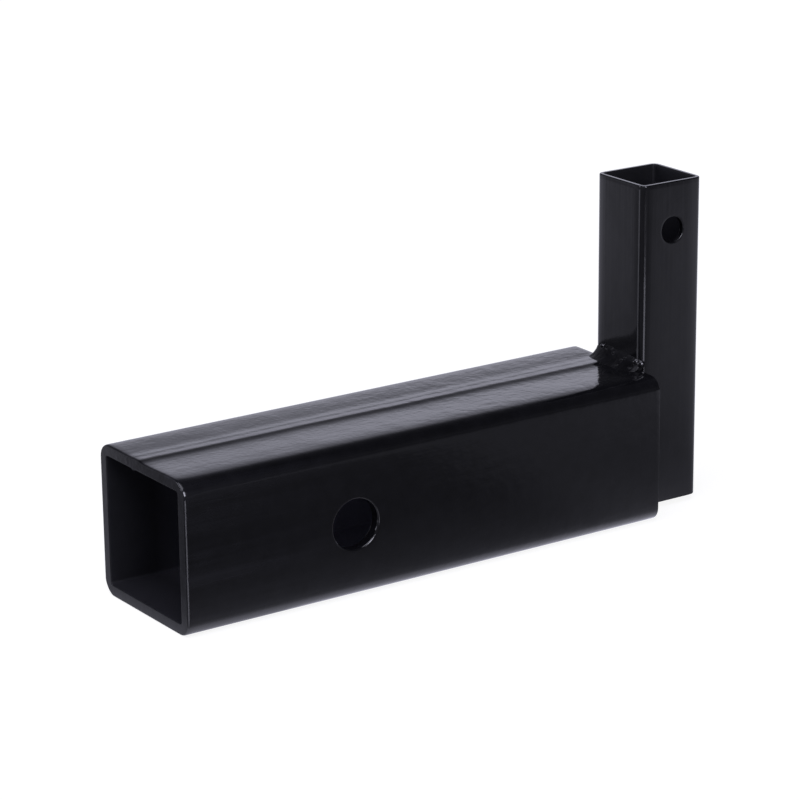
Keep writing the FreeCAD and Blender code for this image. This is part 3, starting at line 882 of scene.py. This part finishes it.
shank_coat = powder_coat(
    "shank_coat", draw_axis=0, roughness=0.11, peel=1.6, waves=1.0, lines=1.9, scuff=0.018)
post_coat = powder_coat("post_coat", draw_axis=2, roughness=0.10, peel=0.4, waves=0.6, lines=1.8)
weld_coat = powder_coat(
    "weld_coat", draw_axis=1, roughness=0.32, peel=1.0, waves=0.6, shade=0.8, specular=0.15)
drop_coat = powder_coat("drop_coat", draw_axis=1, roughness=0.14, peel=0.3, waves=0.3)
# The bores' coats are painted two to three times paler than the outside: painted light standing in for
# light that reaches inside the tubes
shank_bore = powder_coat(
    "shank_bore", draw_axis=0, roughness=0.50, peel=1.2, waves=0.5,
    shade=3.0, vary=0.25, painted_light_deep=0.28, specular=0.2)
post_bore = powder_coat(
    "post_bore", draw_axis=2, roughness=0.55, peel=1.2, waves=0.5, shade=2.6, vary=0.5, specular=0.2)

coat(shank, shank_coat, shank_bore, in_shank_bore)
coat(post, post_coat, post_bore, in_post_bore)
coat(bead, weld_coat, drop_coat, on_big_drop)
coat(foot, weld_coat)


# The stage: a plain pale floor under soft light

STUDIO_TINT = (1.0, 1.0, 1.18, 1)

# Aslant means x plus this share of y, and steeper aslant the same with less of y
ASLANT, STEEPER = 0.78, 0.59

# The floor's own light, which only the object sees: brightness by distance in metres. It goes by the
# distance from the middle, limited aslant, but is brighter round the edge of the shank's footprint.
# All of that changes with y. More is added towards the post, along x, and beyond it, aslant. In front
# of the mouth other light takes its place, steeper aslant or out from the footprint, within a wedge.
GLOW_BY_RADIUS = (
    (0.0, 0.09), (0.10, 0.09), (0.135, 0.10), (0.16, 0.12), (0.20, 0.18), (0.25, 0.23), (0.30, 0.25),
    (0.435, 0.25), (0.6, 0.10), (1.0, 0.07),
)
GLOW_LIMIT = ((-0.2, 0.10), (0.0, 0.10), (0.05, 0.12), (0.09, 0.17), (0.104, 0.25), (0.2, 0.25))
GLOW_BY_EDGE = (
    (-0.010, 0.20), (-0.005, 0.48), (-0.004, 0.62), (-0.0025, 0.86), (-0.0015, 1.0), (0.0, 1.0),
    (0.0016, 0.90), (0.0043, 0.50), (0.0093, 0.38), (0.014, 0.27), (0.020, 0.21), (0.033, 0.15),
    (0.060, 0.09), (0.070, 0.0),
)
GLOW_BY_DEPTH = (
    (-0.2, 1.0), (-0.034, 1.0), (-0.028, 1.2), (0.02, 1.2), (0.045, 1.0), (0.068, 1.6), (0.095, 2.0),
    (0.125, 2.4), (0.17, 1.0), (0.2, 1.0),
)
GLOW_TO_POST = (
    (0.0, 0.0), (0.090, 0.0), (0.125, 0.11), (0.180, 0.09), (0.30, 0.04), (0.40, 0.06), (0.6, 0.0),
)
GLOW_BEYOND = ((0.0, 0.0), (0.110, 0.0), (0.128, 0.07), (0.150, 0.17), (0.200, 0.33), (1.0, 0.33))
GLOW_AT_MOUTH = (
    (-0.1, 0.09), (-0.0762, 0.095), (-0.072, 0.125), (-0.061, 0.13), (-0.0588, 0.18), (-0.0540, 0.185),
    (-0.0525, 0.28), (-0.050, 0.35), (-0.0484, 0.37), (-0.03, 0.37),
)
GLOW_AT_MOUTH_EDGE = ((0.0, 0.50), (0.0037, 0.36), (0.0135, 0.165), (0.022, 0.12), (0.05, 0.0))
MOUTH_WEDGE = ((-0.2, 1.0), (-0.040, 1.0), (-0.032, 0.0), (0.0, 0.0))
MOUTH_SIDE = ((-0.1, 0.0), (-0.026, 0.0), (-0.021, 1.0), (0.0, 1.0))

# The floor lies just under the object, so that the two surfaces don't meet
FLOOR_HALF = 9.0
FLOOR_GAP = 0.05 * MM
FLOOR_MIDDLE = ((cad_box[0].x + cad_box[1].x) / 2, 0, cad_box[0].z - FLOOR_GAP)


def floor_glow(tree):
    place = node(tree, "ShaderNodeTexCoord").outputs["Object"]
    parts = split(tree, place)
    x, y = parts["X"], parts["Y"]
    distance = node(tree, "ShaderNodeVectorMath", {0: place, 1: FLOOR_MIDDLE}, operation="DISTANCE")
    from_middle = maths(tree, "SUBTRACT", x, (shank_low[0] + shank_high[0]) / 2 * MM)
    outward = maths(tree, "MAXIMUM", *(
        maths(tree, "SUBTRACT", maths(tree, "ABSOLUTE", value), half * MM)
        for value, half in ((from_middle, shank_length / 2), (y, SHANK_HALF))
    ))
    aslant, steeper = (maths(tree, "MULTIPLY_ADD", y, slope, x) for slope in (ASLANT, STEEPER))
    by_radius = ramp(tree, distance.outputs["Value"], GLOW_BY_RADIUS)
    glow = mix(tree, "DARKEN", by_radius, ramp(tree, aslant, GLOW_LIMIT))
    glow = mix(tree, "LIGHTEN", glow, ramp(tree, outward, GLOW_BY_EDGE))
    glow = mix(tree, "MULTIPLY", glow, ramp(tree, y, GLOW_BY_DEPTH))
    glow = mix(tree, "ADD", glow, ramp(tree, x, GLOW_TO_POST))
    glow = mix(tree, "ADD", glow, ramp(tree, aslant, GLOW_BEYOND))
    wedge = mix(tree, "MULTIPLY", ramp(tree, steeper, MOUTH_WEDGE), ramp(tree, y, MOUTH_SIDE))
    at_mouth = mix(
        tree, "LIGHTEN", ramp(tree, steeper, GLOW_AT_MOUTH), ramp(tree, outward, GLOW_AT_MOUTH_EDGE))
    glow = mix(tree, "MIX", glow, at_mouth, wedge)
    return mix(tree, "MULTIPLY", glow, STUDIO_TINT)


def stage_floor():
    """A pale floor. The object sees it as a dim sheen of its own light, so that it stays black."""
    mesh = bpy.data.meshes.new("floor")
    corners = [
        (x * FLOOR_HALF, y * FLOOR_HALF, FLOOR_MIDDLE[2])
        for x, y in ((-1, -1), (1, -1), (1, 1), (-1, 1))
    ]
    mesh.from_pydata(corners, [], [(0, 1, 2, 3)])
    floor = bpy.data.objects.new("floor", mesh)
    bpy.context.scene.collection.objects.link(floor)
    material = bpy.data.materials.new("floor_pale")
    tree = empty_tree(material)
    seen = node(tree, "ShaderNodeLightPath").outputs["Is Camera Ray"]
    pale = node(tree, "ShaderNodeBsdfPrincipled", {
        "Base Color": grey(0.3), "Roughness": 1.0, "Specular IOR Level": 0.0,
        "Emission Color": grey(1), "Emission Strength": 0.90})
    sheen = node(tree, "ShaderNodeBsdfPrincipled", {
        "Base Color": grey(0), "Roughness": 0.06, "IOR": 1.5,
        "Emission Color": floor_glow(tree), "Emission Strength": 1.0})
    mixed = node(tree, "ShaderNodeMixShader", {
        "Fac": seen, 1: sheen.outputs["BSDF"], 2: pale.outputs["BSDF"]})
    node(tree, "ShaderNodeOutputMaterial", {"Surface": mixed.outputs["Shader"]})
    mesh.materials.append(material)


# The studio's brightness by the sine of the elevation, and by the azimuth in degrees
BY_HEIGHT = (
    (0.0, 0.80), (0.20, 0.85), (0.268, 1.0), (0.282, 0.89), (0.296, 0.77), (0.312, 0.64), (0.34, 0.55),
    (0.38, 0.47), (0.45, 0.35), (0.55, 0.22), (0.61, 0.16), (0.70, 0.09), (0.80, 0.045), (1.0, 0.03),
)
BY_AZIMUTH = (
    (-180, 0.30), (-90, 0.08), (0, 0.08), (30, 0.60), (44, 1.0), (58, 1.0), (66, 0.88), (80, 0.46),
    (108, 0.31), (150, 0.34), (180, 0.30),
)

# The least light from anywhere, and the strength of it all
LEAST_LIGHT = 0.026
WORLD_STRENGTH = 1.05


def studio_world():
    """Soft light from all round: a bright low wall behind the object and a dim ceiling."""
    world = bpy.data.worlds.new("studio")
    bpy.context.scene.world = world
    tree = empty_tree(world)
    parts = split(tree, node(tree, "ShaderNodeTexCoord").outputs["Generated"])
    azimuth = maths(tree, "DEGREES", maths(tree, "ARCTAN2", parts["Y"], parts["X"]))
    light = mix(tree, "MULTIPLY", ramp(tree, parts["Z"], BY_HEIGHT), ramp(tree, azimuth, BY_AZIMUTH))
    light = mix(tree, "ADD", light, grey(LEAST_LIGHT))
    background = node(tree, "ShaderNodeBackground", {
        "Color": mix(tree, "MULTIPLY", light, STUDIO_TINT), "Strength": WORLD_STRENGTH})
    node(tree, "ShaderNodeOutputWorld", {"Surface": background.outputs["Background"]})


def towards(azimuth, elevation):
    a, e = math.radians(azimuth), math.radians(elevation)
    return Vector((math.cos(a) * math.cos(e), math.sin(a) * math.cos(e), math.sin(e)))


def aim(lamp, direction):
    """Turn a lamp to shine from a direction towards the middle."""
    lamp.rotation_mode = "QUATERNION"
    lamp.rotation_quaternion = direction.to_track_quat("Z", "Y")
    bpy.context.scene.collection.objects.link(lamp)


def soft_sun(azimuth, elevation, power, spread_degrees):
    """A broad key light that falls evenly on the whole floor."""
    data = bpy.data.lights.new("key", "SUN")
    data.energy = power
    data.angle = math.radians(spread_degrees)
    data.color = STUDIO_TINT[:3]
    aim(bpy.data.objects.new("key", data), towards(azimuth, elevation))


PANEL_DISTANCE, PANEL_WIDTH, PANEL_HEIGHT = 1.2, 0.44, 0.62


def softbox(name, azimuth, elevation, power):
    """A soft panel that faces the middle of the stage."""
    data = bpy.data.lights.new(name, "AREA")
    data.shape = "RECTANGLE"
    data.size, data.size_y = PANEL_WIDTH, PANEL_HEIGHT
    data.energy = power
    data.color = STUDIO_TINT[:3]
    panel = bpy.data.objects.new(name, data)
    direction = towards(azimuth, elevation)
    panel.location = direction * PANEL_DISTANCE
    panel.visible_camera = False
    panel.visible_diffuse = False
    aim(panel, direction)


stage_floor()
studio_world()
soft_sun(azimuth=-140, elevation=68, power=1.2, spread_degrees=50)
softbox("left_panel", azimuth=158, elevation=20, power=2.9)
softbox("right_panel", azimuth=-98, elevation=25, power=9)
bpy.context.scene.view_settings.view_transform = "Standard"


# The camera: where the photograph was taken from, fitted to the object's edges

# The place in millimetres, yaw, pitch and roll in degrees, and the focal length in pixels
CAMERA_PLACE = (-503.20, -797.04, 331.58)
CAMERA_TURN = (56.008, -17.513, -0.591)
FOCAL_PX, FRAME_PX = 3108.86, 800


def photo_camera():
    yaw, pitch, roll = (math.radians(angle) for angle in CAMERA_TURN)
    forward = Vector((
        math.cos(pitch) * math.cos(yaw), math.cos(pitch) * math.sin(yaw), math.sin(pitch)))
    level_right = Vector((math.sin(yaw), -math.cos(yaw), 0))
    level_up = level_right.cross(forward)
    right = level_right * math.cos(roll) + level_up * math.sin(roll)
    up = level_up * math.cos(roll) - level_right * math.sin(roll)
    data = bpy.data.cameras.new("camera")
    data.sensor_width = 36.0
    data.lens = FOCAL_PX / FRAME_PX * data.sensor_width
    data.clip_start, data.clip_end = 0.05, 50.0
    camera = bpy.data.objects.new("camera", data)
    rotation = Matrix((right, up, -forward)).transposed()
    camera.matrix_world = Matrix.Translation(Vector(CAMERA_PLACE) * MM) @ rotation.to_4x4()
    bpy.context.scene.collection.objects.link(camera)
    bpy.context.scene.camera = camera


photo_camera()

bpy.context.view_layer.update()
